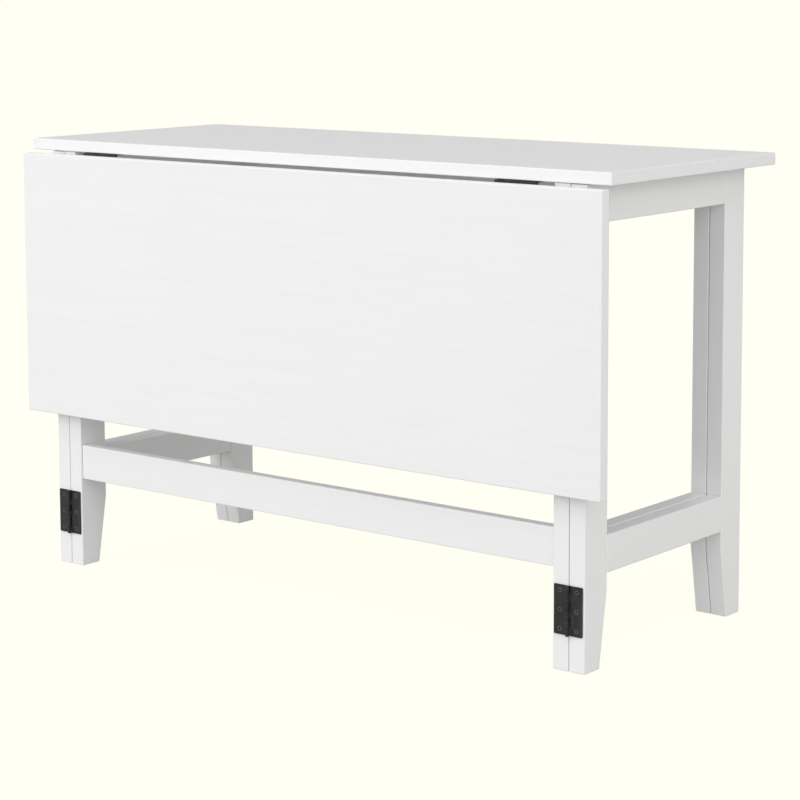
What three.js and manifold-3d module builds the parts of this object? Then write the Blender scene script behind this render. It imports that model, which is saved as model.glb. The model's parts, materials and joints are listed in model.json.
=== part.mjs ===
// Drop leaf table: a fixed top on two nested pairs of side frames, with one full-width leaf that
// hangs in front and two gate frames that swing out to carry it.
// Millimetres. X is the length, Y the depth with the leaf at -Y, Z is up, feet on Z = 0.
import * as THREE from 'three';
import { mergeVertices } from 'three/addons/utils/BufferGeometryUtils.js';
import Module from 'manifold-3d';

const wasm = await Module();
wasm.setup();

// ---------- driving sizes ----------
const tableHeight = 750;
const topLength = 1209;
const topDepth = 469;
const boardThickness = 19.5;
const leafWidth = 454;
const boardEase = 1.5;

const sideOverhang = 44.5;
const frontOverhang = 3.5;
const rearOverhang = 19.5;

const halfThickness = 28;
const seamGap = 1;
const legDepth = 59;
const footDepth = 40;
const taperHeight = 116;
const legEase = 0.8;

const railHeight = 58.5;
const lowerRailBottom = 143;
const gateTopGap = 1;

const spanThickness = 20;
const stretcherHeight = 60;
const stretcherBottom = 155.5;
const spanRecess = 2.6;
const apronHeight = 58.5;

// The gap left between touching pieces.
const fit = 0.3;
// Facets round a screw, bolt or bore, and round a hinge's barrel.
const smallRound = 10;
const bigRound = 16;

const hingeLength = 76;
const plateReach = 25.4;
const plateThickness = 1.8;
const plateCorner = 1.6;
const pinStandoff = 4;
const barrelRadius = 3.3;
const pinRadius = 1.5;
const pinHeadRadius = 2.6;
const pinHeadHeight = 0.8;
const pinTail = 0.8;
const knuckles = 6;
const screwOffset = 15.1;
const screwSpacing = 29.5;
const hingeBelowRail = 11;
const leafHingeOffset = 437;
const leafGap = 1.6;
const leafPinInset = 1;

const screwHeadRadius = 3.4;
const screwHeadDepth = 1.5;
const screwShankRadius = 1.4;
const screwLength = 15;

const boltShankRadius = 3;
const boltHeadRadius = 5.5;
const boltHeadHeight = 3.5;
const boltSink = 1.5;
const boltGrip = 32;

// ---------- derived places ----------
// The working frame has Y = 0 at the front edge of the top; the whole table is then centred in Y.
const underside = tableHeight - boardThickness;
const pinY = -leafPinInset;
const leafInnerY = pinY - pinStandoff;
const leafOuterY = leafInnerY - boardThickness;
const leafTopZ = underside - pinStandoff - (leafGap - leafPinInset);
const centreY = (topDepth + leafOuterY) / 2;

const outerFaceX = topLength / 2 - sideOverhang;
const gateX = outerFaceX - halfThickness / 2;
const splitX = outerFaceX - halfThickness - seamGap / 2;
const fixedX = splitX - seamGap / 2 - halfThickness / 2;
const innerFaceX = fixedX - halfThickness / 2;

const legFrontY = frontOverhang;
const legRearY = topDepth - rearOverhang;
const frontLegBackY = legFrontY + legDepth;
const rearLegFrontY = legRearY - legDepth;

const fixedTopZ = underside - fit;
const gateTopZ = underside - gateTopGap;
const hingeDrop = hingeBelowRail + hingeLength / 2;
const lowerHingeZ = lowerRailBottom - hingeDrop;
const upperHingeZ = gateTopZ - railHeight - hingeDrop;
const gatePinY = legFrontY - pinStandoff;
const spanLength = 2 * (innerFaceX - fit);
const stretcherY = legFrontY + spanRecess + spanThickness / 2;
const apronY = legRearY - spanRecess - spanThickness / 2;
const stretcherZ = stretcherBottom + stretcherHeight / 2;
const apronZ = fixedTopZ - apronHeight / 2;

const screwPlaces = [-screwSpacing, 0, screwSpacing];
const plateFront = pinStandoff - fit - plateThickness;
const notchReach = barrelRadius + fit;
const screwFaceY = plateFront + fit / 2;
const boltSeatX = splitX - seamGap / 2 - boltSink - boltHeadHeight;
const sides = [{ name: 'left', sign: -1 }, { name: 'right', sign: 1 }];

// ---------- materials ----------
const paint = () => new THREE.MeshStandardMaterial({ color: '#f2f2f1', roughness: 0.45, metalness: 0 });
const black = () => new THREE.MeshStandardMaterial({ color: '#353537', roughness: 0.5, metalness: 0.6 });
const dark = () => new THREE.MeshStandardMaterial({ color: '#2b2b2d', roughness: 0.45, metalness: 0.7 });
const zinc = () => new THREE.MeshStandardMaterial({ color: '#b9babb', roughness: 0.35, metalness: 0.9 });

// ---------- solid helpers ----------
function toSolid(geometry) {
  const bare = geometry.clone();
  bare.deleteAttribute('normal');
  bare.deleteAttribute('uv');
  const merged = mergeVertices(bare, 1e-4);
  return new wasm.Manifold(new wasm.Mesh({
    numProp: 3,
    vertProperties: new Float32Array(merged.attributes.position.array),
    triVerts: new Uint32Array(merged.index.array),
  }));
}

function toGeometry(solid) {
  const mesh = solid.getMesh();
  const geometry = new THREE.BufferGeometry();
  const positions = new Float32Array(mesh.vertProperties);
  geometry.setAttribute('position', new THREE.BufferAttribute(positions, 3));
  geometry.setIndex(new THREE.BufferAttribute(new Uint32Array(mesh.triVerts), 1));
  return geometry;
}

function cutFrom(geometry, cutters) {
  let solid = toSolid(geometry);
  for (const cutter of cutters) {
    solid = solid.subtract(toSolid(cutter));
  }
  return toGeometry(solid);
}

// An outline with each corner cut back by `ease`.
function easedOutline(points, ease) {
  const shape = new THREE.Shape();
  points.forEach((corner, index) => {
    const before = points[(index + points.length - 1) % points.length];
    const after = points[(index + 1) % points.length];
    const towards = (other) => {
      const way = new THREE.Vector2(other[0] - corner[0], other[1] - corner[1]).setLength(ease);
      return [corner[0] + way.x, corner[1] + way.y];
    };
    const first = towards(before);
    const second = towards(after);
    if (index === 0) {
      shape.moveTo(...first);
    } else {
      shape.lineTo(...first);
    }
    shape.lineTo(...second);
  });
  shape.closePath();
  return shape;
}

// A slab of the given outline, from z = 0 to z = thickness, with every edge eased.
function easedSlab(points, thickness, ease) {
  const geometry = new THREE.ExtrudeGeometry(easedOutline(points, ease), {
    depth: thickness - 2 * ease,
    bevelEnabled: true,
    bevelThickness: ease,
    bevelSize: ease,
    bevelOffset: -ease,
    bevelSegments: 1,
    steps: 1,
  });
  return geometry.translate(0, 0, ease);
}

// A square-cornered bar or board centred on the origin.
function easedBar(sizeX, sizeY, sizeZ, ease) {
  const x = sizeX / 2;
  const y = sizeY / 2;
  const corners = [[-x, -y], [x, -y], [x, y], [-x, y]];
  return easedSlab(corners, sizeZ, ease).translate(0, 0, -sizeZ / 2);
}

// Turns a shape drawn in Y and Z, and extruded, so that it is extruded along X.
const alongX = new THREE.Matrix4().makeBasis(
  new THREE.Vector3(0, 1, 0), new THREE.Vector3(0, 0, 1), new THREE.Vector3(1, 0, 0));

function rod(radius, length, segments) {
  return new THREE.CylinderGeometry(radius, radius, length, segments).rotateX(Math.PI / 2);
}

function piece(name, geometry, material) {
  const mesh = new THREE.Mesh(geometry, material);
  mesh.name = name;
  return mesh;
}

// ---------- screws ----------
// Origin on the head's flat face, pointing along +Y.
function screwOutline(extra) {
  const slope = (screwHeadRadius - screwShankRadius) / screwHeadDepth;
  const neck = screwShankRadius + extra;
  const end = screwLength + extra;
  return [
    new THREE.Vector2(0, -extra),
    new THREE.Vector2(screwHeadRadius + extra * (1 + slope), -extra),
    new THREE.Vector2(neck, screwHeadDepth),
    new THREE.Vector2(neck, end),
    new THREE.Vector2(0, end + neck),
  ];
}

function screwBody() {
  return new THREE.LatheGeometry(screwOutline(0), smallRound);
}

function screwHole() {
  return new THREE.LatheGeometry(screwOutline(fit), smallRound);
}

// ---------- butt hinge ----------
// Local frame: the pin runs along Z through the origin, the wood's surface is at Y = pinStandoff,
// and a plate reaches out along +X (side 1) or -X (side -1).
function knuckleRange(index) {
  const pitch = hingeLength / knuckles;
  const top = hingeLength / 2 - index * pitch;
  return { top: top - fit / 2, bottom: top - pitch + fit / 2 };
}

function plateGeometry(side) {
  const reach = side * plateReach;
  const half = hingeLength / 2;
  const outline = new THREE.Shape();
  outline.moveTo(0, -half);
  outline.lineTo(reach - side * plateCorner, -half);
  outline.quadraticCurveTo(reach, -half, reach, -half + plateCorner);
  outline.lineTo(reach, half - plateCorner);
  outline.quadraticCurveTo(reach, half, reach - side * plateCorner, half);
  outline.lineTo(0, half);
  outline.closePath();
  const pressing = { depth: plateThickness, bevelEnabled: false, curveSegments: 3 };
  const flat = new THREE.ExtrudeGeometry(outline, pressing);
  flat.rotateX(Math.PI / 2).translate(0, plateFront + plateThickness, 0);

  let solid = toSolid(flat);
  solid = solid.add(toSolid(rod(barrelRadius, hingeLength, bigRound)));
  solid = solid.subtract(toSolid(rod(pinRadius + fit, 2 * hingeLength, smallRound)));

  const otherStart = side > 0 ? 1 : 0;
  for (let index = otherStart; index < knuckles; index += 2) {
    const { top, bottom } = knuckleRange(index);
    const height = top - bottom + 2 * fit;
    const far = 2 * barrelRadius;
    const notch = new THREE.BoxGeometry(notchReach + far, 2 * far, height);
    notch.translate(side * (notchReach - far) / 2, 0, (top + bottom) / 2);
    solid = solid.subtract(toSolid(notch));
  }
  for (const place of screwPlaces) {
    solid = solid.subtract(toSolid(screwHole().translate(side * screwOffset, screwFaceY, place)));
  }
  return toGeometry(solid);
}

function pinGeometry() {
  const half = hingeLength / 2;
  const head = half + fit;
  const profile = [
    new THREE.Vector2(0, -head - pinHeadHeight),
    new THREE.Vector2(pinHeadRadius * 0.8, -head - pinHeadHeight),
    new THREE.Vector2(pinHeadRadius, -head - pinHeadHeight / 2),
    new THREE.Vector2(pinHeadRadius, -head),
    new THREE.Vector2(pinRadius, -head),
    new THREE.Vector2(pinRadius, half + pinTail),
    new THREE.Vector2(0, half + pinTail),
  ];
  return new THREE.LatheGeometry(profile, smallRound).rotateX(Math.PI / 2);
}

function hinge(name, positivePlate, negativePlate, negativeFold) {
  const group = new THREE.Group();
  group.add(piece(`${name}_${positivePlate}_plate`, plateGeometry(1), black()));
  const folded = piece(`${name}_${negativePlate}_plate`, plateGeometry(-1), black());
  folded.rotation.z = negativeFold;
  group.add(folded);
  group.add(piece(`${name}_pin`, pinGeometry(), dark()));
  return group;
}

// ---------- boards ----------
function leafHingeScrewHoles(makeHole) {
  const holes = [];
  for (const side of sides) {
    for (const place of screwPlaces) {
      holes.push(makeHole(side.sign * leafHingeOffset + place));
    }
  }
  return holes;
}

function tabletop() {
  const board = easedBar(topLength, topDepth, boardThickness, boardEase);
  board.translate(0, topDepth / 2, underside + boardThickness / 2);
  const holes = leafHingeScrewHoles((x) => screwHole().rotateX(Math.PI / 2)
    .translate(x, pinY + screwOffset, underside - pinStandoff + screwFaceY));
  return piece('tabletop', cutFrom(board, holes), paint());
}

function dropLeaf() {
  const board = easedBar(topLength, boardThickness, leafWidth, boardEase);
  board.translate(0, leafInnerY - boardThickness / 2, leafTopZ - leafWidth / 2);
  const holes = leafHingeScrewHoles((x) => screwHole().rotateX(Math.PI)
    .translate(x, leafInnerY + pinStandoff - screwFaceY, underside - pinStandoff - screwOffset));
  return piece('drop_leaf', cutFrom(board, holes), paint());
}

// ---------- cross members ----------
function boltHole(x, y, z) {
  const bore = rod(boltShankRadius + fit, 2 * (boltGrip + fit), smallRound).rotateY(Math.PI / 2);
  return bore.translate(x, y, z);
}

const crossMembers = [
  { name: 'front_stretcher', y: stretcherY, z: stretcherZ, height: stretcherHeight },
  { name: 'rear_apron', y: apronY, z: apronZ, height: apronHeight },
];

function crossMember({ name, y, z, height }) {
  const bar = easedBar(spanLength, spanThickness, height, legEase).translate(0, y, z);
  const holes = sides.map((side) => boltHole(side.sign * innerFaceX, y, z));
  return piece(name, cutFrom(bar, holes), paint());
}

// Origin under the head, the shank along +X.
function boltGeometry() {
  const shank = halfThickness - boltSink - boltHeadHeight + boltGrip;
  const profile = [
    new THREE.Vector2(0, -boltHeadHeight),
    new THREE.Vector2(boltHeadRadius, -boltHeadHeight),
    new THREE.Vector2(boltHeadRadius, 0),
    new THREE.Vector2(boltShankRadius, 0),
    new THREE.Vector2(boltShankRadius, shank),
    new THREE.Vector2(0, shank),
  ];
  return new THREE.LatheGeometry(profile, smallRound).rotateZ(-Math.PI / 2);
}

function crossMemberBolt({ name, y, z }, side) {
  const bolt = piece(`${name}_bolt_${side.name}`, boltGeometry(), zinc());
  bolt.position.set(side.sign * boltSeatX, y, z);
  if (side.sign > 0) {
    bolt.rotation.z = Math.PI;
  }
  return bolt;
}

function boltCounterbore(side, { y, z }) {
  const depth = boltSink + boltHeadHeight + fit;
  const bore = rod(boltHeadRadius + 2 * fit, 2 * depth, smallRound).rotateY(Math.PI / 2);
  return bore.translate(side.sign * (splitX - seamGap / 2), y, z);
}

// ---------- side frames ----------
// A leg's outline in depth and height; `ahead` is 1 when the taper is on the rear side.
function legOutline(plainY, ahead, topZ) {
  return [
    [plainY, 0],
    [plainY + ahead * footDepth, 0],
    [plainY + ahead * legDepth, taperHeight],
    [plainY + ahead * legDepth, topZ],
    [plainY, topZ],
  ];
}

function legGeometry(x, plainY, ahead, topZ) {
  const points = legOutline(plainY, ahead, topZ);
  if (ahead < 0) {
    points.reverse();
  }
  const slab = easedSlab(points, halfThickness, legEase).applyMatrix4(alongX);
  return slab.translate(x - halfThickness / 2, 0, 0);
}

function railGeometry(x, bottomZ) {
  const length = rearLegFrontY - frontLegBackY - 2 * fit;
  const middleY = (rearLegFrontY + frontLegBackY) / 2;
  const bar = easedBar(halfThickness, length, railHeight, legEase);
  return bar.translate(x, middleY, bottomZ + railHeight / 2);
}

function hingeScrewHoles(x) {
  const holes = [];
  for (const height of [lowerHingeZ, upperHingeZ]) {
    for (const place of screwPlaces) {
      holes.push(screwHole().translate(x, gatePinY + screwFaceY, height + place));
    }
  }
  return holes;
}

function sideFrame(side, kind) {
  const isGate = kind === 'gate';
  const x = side.sign * (isGate ? gateX : fixedX);
  const topZ = isGate ? gateTopZ : fixedTopZ;
  const screwX = side.sign * (splitX + (isGate ? screwOffset : -screwOffset));
  const frontCuts = hingeScrewHoles(screwX);
  const rearCuts = [];
  if (!isGate) {
    const [stretcher, apron] = crossMembers;
    frontCuts.push(boltHole(x, stretcher.y, stretcher.z), boltCounterbore(side, stretcher));
    rearCuts.push(boltHole(x, apron.y, apron.z), boltCounterbore(side, apron));
  }
  const prefix = `${side.name}_${kind}`;
  const frontLeg = legGeometry(x, legFrontY, 1, topZ);
  const rearLeg = legGeometry(x, legRearY, -1, topZ);
  const group = new THREE.Group();
  group.add(piece(`${prefix}_front_leg`, cutFrom(frontLeg, frontCuts), paint()));
  group.add(piece(`${prefix}_rear_leg`, cutFrom(rearLeg, rearCuts), paint()));
  group.add(piece(`${prefix}_upper_rail`, railGeometry(x, topZ - railHeight), paint()));
  group.add(piece(`${prefix}_lower_rail`, railGeometry(x, lowerRailBottom), paint()));
  return group;
}

// ---------- hinges in place ----------
function gateHinge(side, level, height) {
  const positivePlate = side.sign > 0 ? 'gate' : 'frame';
  const negativePlate = side.sign > 0 ? 'frame' : 'gate';
  const group = hinge(`${side.name}_${level}_hinge`, positivePlate, negativePlate, 0);
  group.position.set(side.sign * splitX, gatePinY, height);
  return group;
}

function leafHinge(side) {
  const group = hinge(`${side.name}_leaf_hinge`, 'top', 'leaf', Math.PI / 2);
  group.quaternion.setFromRotationMatrix(alongX);
  group.position.set(side.sign * leafHingeOffset, pinY, underside - pinStandoff);
  return group;
}

function gateHingeScrews(side) {
  const group = new THREE.Group();
  for (const [plate, offset] of [['gate', screwOffset], ['frame', -screwOffset]]) {
    screwPlaces.forEach((place, index) => {
      const screw = piece(`${side.name}_${plate}_screw_${index + 1}`, screwBody(), dark());
      screw.position.set(side.sign * (splitX + offset), gatePinY + screwFaceY, lowerHingeZ + place);
      group.add(screw);
    });
  }
  return group;
}

// ---------- the table ----------
const table = new THREE.Group();
table.name = 'drop_leaf_table';
table.add(tabletop());
table.add(dropLeaf());
for (const member of crossMembers) {
  table.add(crossMember(member));
}
for (const side of sides) {
  table.add(sideFrame(side, 'frame'));
  table.add(sideFrame(side, 'gate'));
  table.add(gateHinge(side, 'lower', lowerHingeZ));
  table.add(gateHinge(side, 'upper', upperHingeZ));
  table.add(leafHinge(side));
  table.add(gateHingeScrews(side));
  for (const member of crossMembers) {
    table.add(crossMemberBolt(member, side));
  }
}
table.position.y = -centreY;

export default table;
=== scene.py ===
# %% [markdown]
# # A white drop leaf table
# The CAD model holds the sizes, the joints and the collision shapes of this table. This script
# builds the pieces that are looked at, in metres, in the same place as the CAD pieces they stand
# for. Wood gets softly rounded edges and paint with a faint grain. The hinges get rolled
# knuckles, countersunk screws and a satin black coat.

# %% Load the frame
import json
import math

import bmesh
import bpy
from mathutils import Matrix, Vector

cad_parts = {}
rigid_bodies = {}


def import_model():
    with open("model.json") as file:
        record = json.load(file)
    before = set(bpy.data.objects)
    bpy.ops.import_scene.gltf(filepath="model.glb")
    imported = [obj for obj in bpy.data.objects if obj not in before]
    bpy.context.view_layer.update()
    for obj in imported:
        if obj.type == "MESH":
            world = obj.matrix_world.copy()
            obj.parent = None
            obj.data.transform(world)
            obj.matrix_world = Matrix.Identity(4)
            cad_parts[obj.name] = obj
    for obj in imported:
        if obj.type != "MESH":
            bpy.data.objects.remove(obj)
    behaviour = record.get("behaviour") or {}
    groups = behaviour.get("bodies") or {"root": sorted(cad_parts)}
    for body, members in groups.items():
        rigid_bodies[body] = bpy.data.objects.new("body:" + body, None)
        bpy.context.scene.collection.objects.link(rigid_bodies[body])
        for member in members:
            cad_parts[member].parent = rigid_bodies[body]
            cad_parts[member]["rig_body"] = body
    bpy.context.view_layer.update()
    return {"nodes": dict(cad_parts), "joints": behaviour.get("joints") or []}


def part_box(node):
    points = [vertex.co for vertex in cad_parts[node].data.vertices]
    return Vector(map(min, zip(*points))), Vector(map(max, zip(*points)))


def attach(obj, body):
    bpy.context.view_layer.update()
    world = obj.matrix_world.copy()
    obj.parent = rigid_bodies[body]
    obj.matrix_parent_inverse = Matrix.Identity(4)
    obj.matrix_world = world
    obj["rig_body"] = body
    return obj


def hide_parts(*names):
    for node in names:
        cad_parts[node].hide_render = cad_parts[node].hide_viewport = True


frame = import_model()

joints = {joint["name"]: joint for joint in frame["joints"]}

# %% [markdown]
# ## A few bench tools
# Blender's operators act on whatever is selected, so each tool first puts everything down and then
# picks up one piece. Faces and edges are picked in edit mode by a test on their place.

# %% Pick up a piece, edit it, settle it
def pick(piece):
    bpy.ops.object.select_all(action="DESELECT")
    piece.select_set(True)
    bpy.context.view_layer.objects.active = piece
    return piece


def put_down_everything():
    bpy.ops.object.select_all(action="DESELECT")


def new_piece(name):
    piece = bpy.context.object
    piece.name = name
    piece.data.name = name
    bpy.ops.object.transform_apply(location=True, rotation=True, scale=True)
    return piece


def start_block(name, low, high):
    put_down_everything()
    size = high - low
    bpy.ops.mesh.primitive_cube_add(size=1, location=(low + high) / 2, scale=size)
    return new_piece(name)


def start_rod(name, radius, length, centre=(0, 0, 0), sides=32, turn=(0, 0, 0)):
    put_down_everything()
    bpy.ops.mesh.primitive_cylinder_add(
        vertices=sides, radius=radius, depth=length, location=centre, rotation=turn)
    return new_piece(name)


# %% Choose parts of a mesh in edit mode
def open_mesh(piece, mode):
    pick(piece)
    bpy.ops.object.mode_set(mode="EDIT")
    bpy.ops.mesh.select_mode(type=mode)
    bpy.ops.mesh.select_all(action="DESELECT")
    return bmesh.from_edit_mesh(piece.data)


def close_mesh():
    bpy.ops.object.mode_set(mode="OBJECT")


def same(first, second):
    return abs(first - second) < 1e-5


def choose_vertices(piece, wanted):
    mesh = open_mesh(piece, "VERT")
    for vertex in mesh.verts:
        vertex.select = bool(wanted(vertex.co))
    mesh.select_flush(True)
    bmesh.update_edit_mesh(piece.data)


def choose_edges(piece, wanted):
    mesh = open_mesh(piece, "EDGE")
    for edge in mesh.edges:
        first, second = (vertex.co for vertex in edge.verts)
        if wanted(first, second):
            edge.select_set(True)
    bmesh.update_edit_mesh(piece.data)


def choose_faces(piece, wanted):
    mesh = open_mesh(piece, "FACE")
    for face in mesh.faces:
        if wanted(face.calc_center_median(), face.normal):
            face.select_set(True)
    bmesh.update_edit_mesh(piece.data)


# %% Round the edges, cut, join, smooth
SHARP_ANGLE = math.radians(40)


def round_chosen_edges(radius, steps=3):
    bpy.ops.mesh.bevel(offset=radius, segments=steps, profile=0.5, affect="EDGES")
    close_mesh()


def combine(piece, tool, operation):
    pick(piece)
    modifier = piece.modifiers.new("combine", "BOOLEAN")
    modifier.operation = operation
    modifier.object = tool
    modifier.solver = "EXACT"
    bpy.ops.object.modifier_apply(modifier=modifier.name)
    bpy.data.objects.remove(tool)


def soften_corners(piece, width):
    pick(piece)
    modifier = piece.modifiers.new("soften", "BEVEL")
    modifier.width = width
    modifier.segments = 2
    modifier.limit_method = "ANGLE"
    modifier.angle_limit = SHARP_ANGLE
    modifier.use_clamp_overlap = True
    bpy.ops.object.modifier_apply(modifier=modifier.name)


def smooth(piece, angle=35):
    pick(piece)
    bpy.ops.object.shade_smooth_by_angle(angle=math.radians(angle))
    modifier = piece.modifiers.new("flat faces stay flat", "WEIGHTED_NORMAL")
    modifier.keep_sharp = True
    modifier.weight = 100
    bpy.ops.object.modifier_apply(modifier=modifier.name)


def copy_at(pattern, name, place):
    copy = bpy.data.objects.new(name, pattern.data.copy())
    copy.data.name = name
    bpy.context.scene.collection.objects.link(copy)
    copy.data.transform(place)
    return copy


# %% [markdown]
# ## Shader maths as Python
# A material is a small graph of nodes. Wrapping a socket in a class with Python's own operators
# lets a line such as `grain * 0.5 + 0.2` add the Math nodes by itself. Every other kind of node
# comes from one method, which takes the node's settings first and then its inputs.

# %% A wire and a finish
class Wire:
    def __init__(self, finish, socket):
        self.finish = finish
        self.socket = socket

    def maths(self, operation, first, second=0.0):
        return self.finish.node("ShaderNodeMath", {"operation": operation}, {0: first, 1: second})

    def __add__(self, other):
        return self.maths("ADD", self, other)

    def __sub__(self, other):
        return self.maths("SUBTRACT", self, other)

    def __rsub__(self, other):
        return self.maths("SUBTRACT", other, self)

    def __mul__(self, other):
        return self.maths("MULTIPLY", self, other)

    __radd__ = __add__
    __rmul__ = __mul__

    def above(self, level, width):
        return self.finish.node(
            "ShaderNodeMapRange", {"interpolation_type": "SMOOTHSTEP"},
            {"Value": self, "From Min": level - width, "From Max": level + width})


class Graph:
    def __init__(self, tree):
        self.tree = tree

    def node(self, kind, settings=None, inputs=None, output=0):
        node = self.tree.nodes.new(kind)
        for name, value in (settings or {}).items():
            setattr(node, name, value)
        for name, value in (inputs or {}).items():
            if isinstance(value, Wire):
                self.tree.links.new(value.socket, node.inputs[name])
            else:
                node.inputs[name].default_value = value
        return Wire(self, node.outputs[output])

    def link(self, wire, node, socket):
        self.tree.links.new(wire.socket, node.inputs[socket])


class Finish(Graph):
    def __init__(self, name):
        self.material = bpy.data.materials.new(name)
        self.material.use_nodes = True
        super().__init__(self.material.node_tree)
        self.shader = self.tree.nodes["Principled BSDF"]

    def place(self, stretch, shift=(0, 0, 0)):
        where = self.node("ShaderNodeTexCoord", output="Object")
        return self.node(
            "ShaderNodeMapping", {}, {"Vector": where, "Scale": stretch, "Location": shift})

    def noise(self, where, scale, detail=3.0, roughness=0.5, distortion=0.0):
        return self.node(
            "ShaderNodeTexNoise", {},
            {"Vector": where, "Scale": scale, "Detail": detail, "Roughness": roughness,
             "Distortion": distortion})

    def blend(self, amount, first, second):
        return self.node(
            "ShaderNodeMix", {"data_type": "RGBA"},
            {0: amount, 6: (*first, 1), 7: (*second, 1)}, output=2)

    def bump(self, height, distance, strength=1.0):
        return self.node(
            "ShaderNodeBump", {}, {"Height": height, "Distance": distance, "Strength": strength})

    def set(self, name, value):
        if isinstance(value, Wire):
            self.tree.links.new(value.socket, self.shader.inputs[name])
        else:
            self.shader.inputs[name].default_value = value


# %% [markdown]
# ## White paint over wood
# The wood is sprayed in a satin white that lets a little of the grain through: long, low ridges
# along each piece, and a very slight change of shade. Noise that is stretched along the grain
# gives both. Legs run up and down, rails from front to back and boards from side to side, so there
# is one finish for each direction.

# %% The paint
PAINT = (0.862, 0.862, 0.862)
PAINT_SHADE = (0.820, 0.820, 0.820)
GRAIN_ALONG = 3.0
GRAIN_ACROSS = 70.0
PAINT_IOR = 1.48


def white_paint(name, axis, grain_depth=0.00009, shade=0.45, roughness=0.24):
    finish = Finish(name)
    stretch = [GRAIN_ACROSS] * 3
    stretch[axis] = GRAIN_ALONG
    along = finish.place(stretch)
    streaks = finish.noise(along, 1.6, 4.0, 0.62, 0.6)
    pores = finish.noise(along, 7.0, 3.0, 0.6)
    cloud = finish.noise(finish.place((1, 1, 1)), 3.0, 2.0)
    tone = (streaks.above(0.55, 0.2) * 0.6 + cloud.above(0.55, 0.3) * 0.4) * shade
    finish.set("Base Color", finish.blend(tone, PAINT, PAINT_SHADE))
    finish.set("Roughness", streaks * 0.14 + pores * 0.08 + roughness)
    ridges = streaks * 0.5 + pores.above(0.52, 0.12) * 0.5
    finish.set("Normal", finish.bump(ridges, grain_depth, 0.35))
    finish.set("IOR", PAINT_IOR)
    return finish.material


board_paint = white_paint("paint_along_boards", 0, 0.00012, 0.65, 0.37)
rail_paint = white_paint("paint_along_rails", 1)
leg_paint = white_paint("paint_along_legs", 2)
print("three directions of white paint")

# %% [markdown]
# ## Black coat on steel
# The hinges are pressed steel with a satin black coat. It is slightly uneven, a little glossier
# where hands and tools have rubbed it, and lightly pitted. Screws are smoother, with a painted
# highlight on the face and painted shade in the drive recess.

# %% The coats
ZINC_BRIGHT = (0.60, 0.60, 0.61)
ZINC_DULL = (0.48, 0.48, 0.49)
HINGE_DARK = (0.0085, 0.0085, 0.0088)
HINGE_LIGHT = (0.015, 0.015, 0.0155)
# Screw colours: near black for the drive recess as painted shade, and a face much lighter than the
# plate as a painted highlight; the random patches mix the two a little.
SCREW_DARK_AND_RECESS_SHADE = (0.004, 0.004, 0.004)
SCREW_FACE_HIGHLIGHT = (0.12, 0.12, 0.124)
RECESS_SHADE_START = 0.0003


def black_coat(name, dark, light, roughness, painted_shade_from=None):
    finish = Finish(name)
    fine = finish.noise(finish.place((1, 1, 1)), 900.0, 3.0, 0.6)
    patch = finish.noise(finish.place((1, 1, 1), (3, 1, 7)), 60.0, 3.0, 0.55)
    dark_and_shade_share = 1 - patch.above(0.52, 0.22)
    # Painted shade: past a small depth along Y, into a screw's drive recess, the coat turns to its
    # darkest colour.
    if painted_shade_from is not None:
        where = finish.node("ShaderNodeTexCoord", output="Object")
        inward = finish.node("ShaderNodeSeparateXYZ", {}, {"Vector": where}, output="Y")
        dark_and_shade_share = dark_and_shade_share * 0.3 + inward.above(painted_shade_from, 0.0001)
    finish.set("Base Color", finish.blend(dark_and_shade_share, light, dark))
    finish.set("Roughness", patch * 0.16 + fine * 0.08 + roughness)
    finish.set("Normal", finish.bump(fine, 0.00006, 0.3))
    finish.set("Specular IOR Level", 0.3)
    return finish.material


def plated_steel(name):
    finish = Finish(name)
    cloud = finish.noise(finish.place((1, 1, 1)), 220.0, 3.0, 0.6)
    finish.set("Base Color", finish.blend(cloud.above(0.5, 0.3), ZINC_BRIGHT, ZINC_DULL))
    finish.set("Roughness", cloud * 0.2 + 0.22)
    finish.set("Normal", finish.bump(cloud, 0.00003, 0.3))
    finish.set("Metallic", 1.0)
    return finish.material


hinge_coat = black_coat("hinge_black", HINGE_DARK, HINGE_LIGHT, 0.36)
# A screw's face is painted lighter than the plate as a painted highlight, and past a small depth
# into the drive recess the coat turns darkest, as painted shade.
screw_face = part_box("right_gate_screw_1")[0].y
screw_coat_painted_light = black_coat("screw_black_painted_light", SCREW_DARK_AND_RECESS_SHADE, SCREW_FACE_HIGHLIGHT, 0.24, screw_face + RECESS_SHADE_START)
bolt_plate = plated_steel("bolt_zinc")
print("two black coats and one zinc plate")


# %% Give a piece its finish, its body and the CAD pieces it stands for
def deliver(piece, finish, nodes=(), body=None):
    piece.data.materials.clear()
    piece.data.materials.append(finish)
    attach(piece, body or frame["nodes"][nodes[0]]["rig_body"])
    if nodes:
        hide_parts(*nodes)
    return piece


# %% [markdown]
# ## Boards, apron, stretcher and rails
# Each is a sawn board with its edges eased by sandpaper. A cube of the right size is enough to
# start with, and a bevel in three steps round every edge turns it into a board that catches the
# light along its arrises.

# %% Plain boards
BOARD_EASE = 0.0017
FRAME_EASE = 0.0015
RAIL_EASE = 0.0022


def make_board(node, finish, ease):
    low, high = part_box(node)
    board = start_block("made_" + node, low, high)
    choose_edges(board, lambda first, second: True)
    round_chosen_edges(ease)
    smooth(board)
    return deliver(board, finish, [node])


for node in ("tabletop", "drop_leaf"):
    make_board(node, board_paint, BOARD_EASE)
CROSS_MEMBERS = {"front": "front_stretcher", "rear": "rear_apron"}
for node in CROSS_MEMBERS.values():
    make_board(node, board_paint, FRAME_EASE)
SIDES = ("left", "right")
for side in SIDES:
    for kind in ("frame", "gate"):
        for rail in ("upper_rail", "lower_rail"):
            make_board(f"{side}_{kind}_{rail}", rail_paint, RAIL_EASE)
print("boards, apron, stretcher and rails are made")

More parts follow.
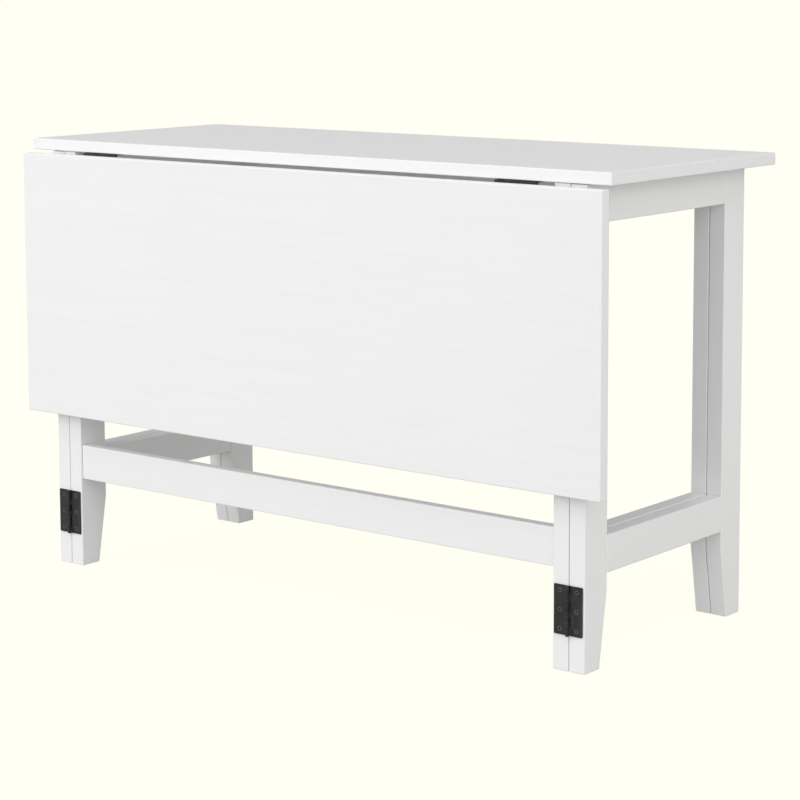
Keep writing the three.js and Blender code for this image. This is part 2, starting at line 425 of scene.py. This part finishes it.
# %% [markdown]
# ## Half-legs
# A half-leg is a straight bar whose foot is cut away on one side, the side that faces the other
# leg of its frame. The bar is bisected where the taper starts, the foot's edge on that side is
# slid inwards, and the edges are rounded as before. The fixed front and rear half-legs also have a
# counterbore for each bolt, which only shows when a gate is open.

# %% Tapered half-legs
FOOT_DEPTH = 0.040
TAPER_TOP = 0.116
HEAD_ROOM = 0.0004
BOLT_SINK = 0.0015
BOLT_HEAD = 0.0035


def make_leg(node, taper_to_rear):
    low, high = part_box(node)
    leg = start_block("made_" + node, low, high)
    choose_vertices(leg, lambda place: True)
    bpy.ops.mesh.bisect(plane_co=(0, 0, TAPER_TOP), plane_no=(0, 0, 1))
    close_mesh()
    edge = high.y if taper_to_rear else low.y
    slide = (high.y - low.y - FOOT_DEPTH) * (-1 if taper_to_rear else 1)
    choose_vertices(leg, lambda place: same(place.z, low.z) and same(place.y, edge))
    bpy.ops.transform.translate(value=(0, slide, 0))
    close_mesh()
    choose_edges(leg, lambda first, second: not (
        same(first.z, TAPER_TOP) and same(second.z, TAPER_TOP)))
    round_chosen_edges(FRAME_EASE)
    return leg


def cut_bolt_bore(leg, member, side):
    low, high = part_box(f"{member}_bolt_{side}")
    middle = (low + high) / 2
    head_radius = (high.z - low.z) / 2 + HEAD_ROOM
    leg_low, leg_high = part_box(f"{side}_frame_front_leg")
    outer = leg_high.x if side == "right" else leg_low.x
    bore = start_rod(
        "bore", head_radius, 2 * (BOLT_SINK + BOLT_HEAD), (outer, middle.y, middle.z), 40,
        (0, math.pi / 2, 0))
    combine(leg, bore, "DIFFERENCE")


for side in SIDES:
    for kind in ("frame", "gate"):
        for end in ("front", "rear"):
            node = f"{side}_{kind}_{end}_leg"
            leg = make_leg(node, end == "front")
            if kind == "frame":
                cut_bolt_bore(leg, CROSS_MEMBERS[end], side)
            smooth(leg)
            deliver(leg, leg_paint, [node])
print("eight half-legs are made")

# %% [markdown]
# ## Butt hinges
# A butt hinge is two pressed plates whose edges are rolled into knuckles round one pin. The plate
# starts as a block, its outer corners are rounded, and a rod is joined on for the barrel. Notches
# are then cut where the other plate's knuckles sit, with a bore for the pin and a countersunk hole
# for each screw. Both plates are made once, upright at the origin, and copied to each hinge.

# %% Hinge sizes, measured on one CAD hinge
gate_pin = Vector(joints["right_gate_swing"]["pos_m"])
plate_low, plate_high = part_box("right_lower_hinge_gate_plate")
HINGE_LENGTH = plate_high.z - plate_low.z
PLATE_REACH = plate_high.x - gate_pin.x
BARREL_RADIUS = gate_pin.x - plate_low.x
PLATE_BACK = plate_high.y - gate_pin.y
PLATE_THICKNESS = 0.0018
PLATE_FRONT = PLATE_BACK - PLATE_THICKNESS
PLATE_CORNER = 0.0016
PIN_RADIUS = 0.0015
PIN_ROOM = 0.0003
KNUCKLES = 6
KNUCKLE_GAP = 0.00035
NOTCH_REACH = 0.0036
SCREW_OFFSET = 0.0151
SCREW_SPACING = 0.0295
SCREW_HEAD = 0.0034
SCREW_SHANK = 0.0014
SCREW_HEAD_DEPTH = 0.0015
SCREW_LENGTH = 0.015
SCREW_SINK = 0.00015
CUT_OVER = 0.0006
HOLE_LENGTH = 0.02
SCREW_PLACES = (-SCREW_SPACING, 0.0, SCREW_SPACING)
print("hinge:", round(HINGE_LENGTH, 4), "long, plates", round(PLATE_REACH, 4), "wide")


# %% One plate
def cut_block(plate, low, high):
    combine(plate, start_block("notch", Vector(low), Vector(high)), "DIFFERENCE")


def cut_countersink(plate, x, z):
    put_down_everything()
    slope = (SCREW_HEAD - SCREW_SHANK) / SCREW_HEAD_DEPTH
    into_wood = (math.pi / 2, 0, 0)
    bpy.ops.mesh.primitive_cone_add(
        vertices=32, depth=SCREW_HEAD_DEPTH + CUT_OVER, radius1=SCREW_SHANK + PIN_ROOM,
        radius2=SCREW_HEAD + PIN_ROOM / 2 + CUT_OVER * slope, rotation=into_wood,
        location=(x, PLATE_FRONT + SCREW_SINK + (SCREW_HEAD_DEPTH - CUT_OVER) / 2, z))
    combine(plate, new_piece("countersink"), "DIFFERENCE")
    hole = start_rod(
        "hole", SCREW_SHANK + PIN_ROOM, HOLE_LENGTH, (x, PLATE_BACK, z), 32, into_wood)
    combine(plate, hole, "DIFFERENCE")


def make_plate(name, side, first_notch):
    half = HINGE_LENGTH / 2
    left, right = sorted((0.0, side * PLATE_REACH))
    plate = start_block(
        name, Vector((left, PLATE_FRONT, -half)), Vector((right, PLATE_BACK, half)))
    outer = side * PLATE_REACH
    choose_edges(plate, lambda first, second: (
        same(first.x, outer) and same(second.x, outer) and same(first.z, second.z)))
    round_chosen_edges(PLATE_CORNER, 5)
    combine(plate, start_rod("barrel", BARREL_RADIUS, HINGE_LENGTH, sides=40), "UNION")
    combine(plate, start_rod("bore", PIN_RADIUS + PIN_ROOM, HINGE_LENGTH + 0.01), "DIFFERENCE")
    pitch = HINGE_LENGTH / KNUCKLES
    far = 2 * BARREL_RADIUS
    for index in range(first_notch, KNUCKLES, 2):
        past_top = far if index == 0 else 0
        past_bottom = far if index == KNUCKLES - 1 else 0
        top = half - index * pitch + KNUCKLE_GAP / 2 + past_top
        bottom = half - (index + 1) * pitch - KNUCKLE_GAP / 2 - past_bottom
        left, right = sorted((-side * far, side * NOTCH_REACH))
        cut_block(plate, (left, -far, bottom), (right, far, top))
    for place in SCREW_PLACES:
        cut_countersink(plate, side * SCREW_OFFSET, place)
    soften_corners(plate, 0.00018)
    smooth(plate, 30)
    return plate


# The plate towards +X has the uppermost knuckle, so its first notch is the second place down.
plate_patterns = {1: make_plate("plate_plus", 1, 1), -1: make_plate("plate_minus", -1, 0)}
print("plates:", [len(pattern.data.polygons) for pattern in plate_patterns.values()], "faces")

# %% [markdown]
# ## Pins, screws and bolts
# Each starts as a short cylinder. Its end face is extruded and scaled to draw out the head, the
# cone and the shank, as on a lathe, and the drive recess is cut into the head last.

# %% Draw out a rod from its end face
FASTENER_EASE = 0.0003
SCREW_EASE = 0.00012
SCREW_FACE = 0.0003
SCREW_TIP_SHARE = 0.08
RECESS = (0.0044, 0.0019, 0.0026)
RECESS_TURN = 0.5
BOLT_SHANK = 0.003
SOCKET_RADIUS = 0.0029
SOCKET_LENGTH = 0.005


def extrude_chosen(length):
    bpy.ops.mesh.extrude_region_move(TRANSFORM_OT_translate={"value": (0, 0, length)})


def draw_out(piece, level, length, scale):
    choose_faces(piece, lambda centre, normal: same(centre.z, level) and abs(normal.z) > 0.9)
    extrude_chosen(length)
    if scale != 1:
        bpy.ops.transform.resize(value=(scale, scale, 1), center_override=(0, 0, level + length))
    close_mesh()
    return level + length


def make_pin():
    half = HINGE_LENGTH / 2
    low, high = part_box("right_lower_hinge_pin")
    middle = (plate_low.z + plate_high.z) / 2
    head_bottom = low.z - middle
    head_top = -half - PIN_ROOM
    head_radius = (high.x - low.x) / 2
    pin = start_rod("pin_pattern", head_radius, head_top - head_bottom,
                    (0, 0, (head_top + head_bottom) / 2))
    choose_faces(pin, lambda centre, normal: normal.z > 0.9)
    bpy.ops.mesh.inset(thickness=head_radius - PIN_RADIUS)
    extrude_chosen(high.z - middle - head_top)
    close_mesh()
    soften_corners(pin, FASTENER_EASE)
    smooth(pin)
    return pin


def make_screw():
    screw = start_rod("screw_pattern", SCREW_HEAD, SCREW_FACE, (0, 0, -SCREW_FACE / 2))
    level = draw_out(
        screw, -SCREW_FACE, -(SCREW_HEAD_DEPTH - SCREW_FACE), SCREW_SHANK / SCREW_HEAD)
    level = draw_out(screw, level, -(SCREW_LENGTH - SCREW_HEAD_DEPTH), 1)
    draw_out(screw, level, -SCREW_SHANK, SCREW_TIP_SHARE)
    for turn in (0, math.pi / 2):
        put_down_everything()
        bpy.ops.mesh.primitive_cube_add(
            size=1, location=(0, 0, 0), rotation=(0, 0, turn + RECESS_TURN), scale=RECESS)
        combine(screw, new_piece("recess"), "DIFFERENCE")
    soften_corners(screw, SCREW_EASE)
    smooth(screw)
    return screw


def make_bolt():
    low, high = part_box("front_stretcher_bolt_right")
    head = (high.z - low.z) / 2
    bolt = start_rod("bolt_pattern", head, BOLT_HEAD, (0, 0, -BOLT_HEAD / 2), 40)
    choose_faces(bolt, lambda centre, normal: normal.z < -0.9)
    bpy.ops.mesh.inset(thickness=head - BOLT_SHANK)
    extrude_chosen(-(high.x - low.x - BOLT_HEAD))
    close_mesh()
    combine(bolt, start_rod("socket", SOCKET_RADIUS, SOCKET_LENGTH, sides=6), "DIFFERENCE")
    soften_corners(bolt, FASTENER_EASE)
    smooth(bolt)
    return bolt


pin_pattern = make_pin()
screw_pattern = make_screw()
bolt_pattern = make_bolt()
print("pin, screw and bolt are made")

# %% [markdown]
# ## Fit the hinges
# A gate hinge stands upright on the front of the legs, so its copies are only moved. A leaf hinge
# lies along the joint under the top: the same hinge is turned so that its pin runs along X, and
# its leaf plate is folded down a quarter turn, because the leaf hangs.

# %% Hinges and their screws
def screw_place(side, place):
    into_wood = Matrix.Rotation(math.radians(90), 4, "X")
    return Matrix.Translation((side * SCREW_OFFSET, PLATE_FRONT + SCREW_SINK, place)) @ into_wood


def fit_plate(hinge, role, side, place, body, screw_nodes):
    node = f"{hinge}_{role}_plate"
    deliver(copy_at(plate_patterns[side], "made_" + node, place), hinge_coat, [node])
    for index, height in enumerate(SCREW_PLACES):
        # The screw coat carries a painted highlight on the face and painted shade in the drive
        # recess.
        screw = copy_at(
            screw_pattern, f"{hinge}_{role}_woodscrew_{index + 1}",
            place @ screw_place(side, height))
        deliver(screw, screw_coat_painted_light, screw_nodes[index:index + 1], body)


def fit_pin(hinge, place):
    pin = copy_at(pin_pattern, f"made_{hinge}_pin", place)
    # Pins take the screw coat, so they carry its painted highlight and, behind the depth of the
    # screw faces, its painted shade.
    deliver(pin, screw_coat_painted_light, [f"{hinge}_pin"])


def fit_gate_hinge(side, level):
    hinge = f"{side}_{level}_hinge"
    low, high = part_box(f"{hinge}_gate_plate")
    pin = Vector(joints[f"{side}_gate_swing"]["pos_m"])
    place = Matrix.Translation((pin.x, pin.y, (low.z + high.z) / 2))
    outwards = 1 if side == "right" else -1
    for role, way, body in (("gate", outwards, f"{side}_gate"), ("frame", -outwards, "frame")):
        nodes = [f"{side}_{role}_screw_{index}" for index in (1, 2, 3)] if level == "lower" else []
        fit_plate(hinge, role, way, place, body, nodes)
    fit_pin(hinge, place)


def fit_leaf_hinge(side):
    hinge = f"{side}_leaf_hinge"
    low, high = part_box(f"{hinge}_top_plate")
    pin = Vector(joints["leaf_fold"]["pos_m"])
    along_x = Matrix(((0, 0, 1, 0), (1, 0, 0, 0), (0, 1, 0, 0), (0, 0, 0, 1)))
    place = Matrix.Translation(((low.x + high.x) / 2, pin.y, pin.z)) @ along_x
    folded = place @ Matrix.Rotation(math.radians(90), 4, "Z")
    fit_plate(hinge, "top", 1, place, "frame", [])
    fit_plate(hinge, "leaf", -1, folded, "leaf", [])
    fit_pin(hinge, place)


for side in SIDES:
    fit_gate_hinge(side, "lower")
    fit_gate_hinge(side, "upper")
    fit_leaf_hinge(side)
print("six hinges and their screws are fitted")


# %% Bolts through the fixed legs
def fit_bolt(member, side):
    low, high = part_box(f"{member}_bolt_{side}")
    outer = high.x if side == "right" else low.x
    turn = math.radians(90 if side == "right" else -90)
    place = Matrix.Translation((outer, (low.y + high.y) / 2, (low.z + high.z) / 2))
    place = place @ Matrix.Rotation(turn, 4, "Y")
    bolt = copy_at(bolt_pattern, f"made_{member}_bolt_{side}", place)
    deliver(bolt, bolt_plate, [f"{member}_bolt_{side}"])


for member in CROSS_MEMBERS.values():
    for side in SIDES:
        fit_bolt(member, side)
for pattern in (*plate_patterns.values(), pin_pattern, screw_pattern, bolt_pattern):
    bpy.data.objects.remove(pattern)
print("four bolts are fitted")

# %% [markdown]
# ## Floor and light
# A pale studio: a wide floor that the camera sees as an even warm white with the table's soft
# shadow in it, a white sky for fill that is strongest in front, and two large soft lamps, one in
# front to the left and one to the right.

# %% Floor
BACKGROUND = (1.0, 1.0, 0.90)
FLOOR_GLOW = (1.075, 1.075, 0.955)
FLOOR_SHARE = 0.10
FLOOR_SIZE = 60
FLOOR_DROP = 0.0005
FLOOR_TONE = 0.45

put_down_everything()
bpy.ops.mesh.primitive_plane_add(size=FLOOR_SIZE, location=(0, 0, -FLOOR_DROP))
floor = new_piece("floor")
floor_finish = Finish("floor_pale")
floor_finish.set("Base Color", (FLOOR_TONE, FLOOR_TONE, FLOOR_TONE, 1))
floor_finish.set("Roughness", 0.9)
floor_finish.set("Specular IOR Level", 0.0)


def seen_directly(graph):
    camera_ray, glossy_ray, clear_ray = (
        graph.node("ShaderNodeLightPath", output=name)
        for name in ("Is Camera Ray", "Is Glossy Ray", "Is Transmission Ray"))
    return camera_ray + glossy_ray + clear_ray


glow = floor_finish.node("ShaderNodeEmission", {}, {"Color": (*FLOOR_GLOW, 1)})
lit = Wire(floor_finish, floor_finish.shader.outputs[0])
glow_share = seen_directly(floor_finish) * (1 - FLOOR_SHARE)
mixed = floor_finish.node("ShaderNodeMixShader", {}, {0: glow_share, 1: lit, 2: glow})
floor_finish.link(mixed, floor_finish.tree.nodes["Material Output"], "Surface")
floor.data.materials.append(floor_finish.material)

# %% Sky
SKY_IN_FRONT = 1.16
SKY_OVERHEAD = 0.3

world = bpy.data.worlds.new("studio")
bpy.context.scene.world = world
world.use_nodes = True
sky = Graph(world.node_tree)
direction = sky.node("ShaderNodeTexCoord", output="Generated")
rearwards, upwards = (
    sky.node("ShaderNodeSeparateXYZ", {}, {"Vector": direction}, output=name) for name in "YZ")
strength = (rearwards * -1).above(0, 1) * SKY_IN_FRONT + upwards.above(0, 1) * SKY_OVERHEAD
fill = sky.node("ShaderNodeBackground", {}, {"Color": (1, 1, 1, 1), "Strength": strength})
backdrop = sky.node("ShaderNodeBackground", {}, {"Color": (*BACKGROUND, 1)})
camera_ray = sky.node("ShaderNodeLightPath", output="Is Camera Ray")
sky_mix = sky.node("ShaderNodeMixShader", {}, {0: camera_ray, 1: fill, 2: backdrop})
sky.link(sky_mix, world.node_tree.nodes["World Output"], "Surface")


# %% Lamps
def add_lamp(name, place, aim, width, power):
    lamp = bpy.data.lights.new(name, "AREA")
    lamp.shape = "SQUARE"
    lamp.size = width
    lamp.energy = power
    holder = bpy.data.objects.new(name, lamp)
    holder.location = place
    holder.rotation_euler = (Vector(aim) - Vector(place)).to_track_quat("-Z", "Y").to_euler()
    bpy.context.scene.collection.objects.link(holder)


add_lamp("key_lamp", (-2.2, -3.4, 1.7), (0, 0, 0.4), 2.4, 26)
add_lamp("side_lamp", (3.6, -0.6, 1.6), (0, 0, 0.4), 2.0, 24)
print("floor, sky and two lamps")

# %% [markdown]
# ## Camera
# The table is seen from the front right, a little above the top, through a long lens. The camera
# tilts down slightly, so upright edges draw together a little towards the floor. The lens is
# shifted as well, as on a view camera, which lowers the view without more tilt.

# %% Camera
AZIMUTH = math.radians(38.647)
ELEVATION = math.radians(6.707)
ROLL = math.radians(-0.196)
DISTANCE = 3.9457
AIM = Vector((0.0285, 0.01225, 0.5754))
FOCAL_LENGTH = 106.43
SENSOR = 36.0
SHIFT = -0.1875

forward = Vector((-math.sin(AZIMUTH) * math.cos(ELEVATION), math.cos(AZIMUTH) * math.cos(ELEVATION),
                  -math.sin(ELEVATION)))
camera_data = bpy.data.cameras.new("studio_camera")
camera_data.sensor_width = SENSOR
camera_data.lens = FOCAL_LENGTH
camera_data.shift_y = SHIFT
camera_data.clip_end = 200
camera = bpy.data.objects.new("studio_camera", camera_data)
camera.rotation_mode = "QUATERNION"
camera.location = AIM - forward * DISTANCE
level = forward.to_track_quat("-Z", "Y")
camera.rotation_quaternion = level @ Matrix.Rotation(ROLL, 3, "Z").to_quaternion()
bpy.context.scene.collection.objects.link(camera)
bpy.context.scene.camera = camera
bpy.context.scene.view_settings.view_transform = "Standard"
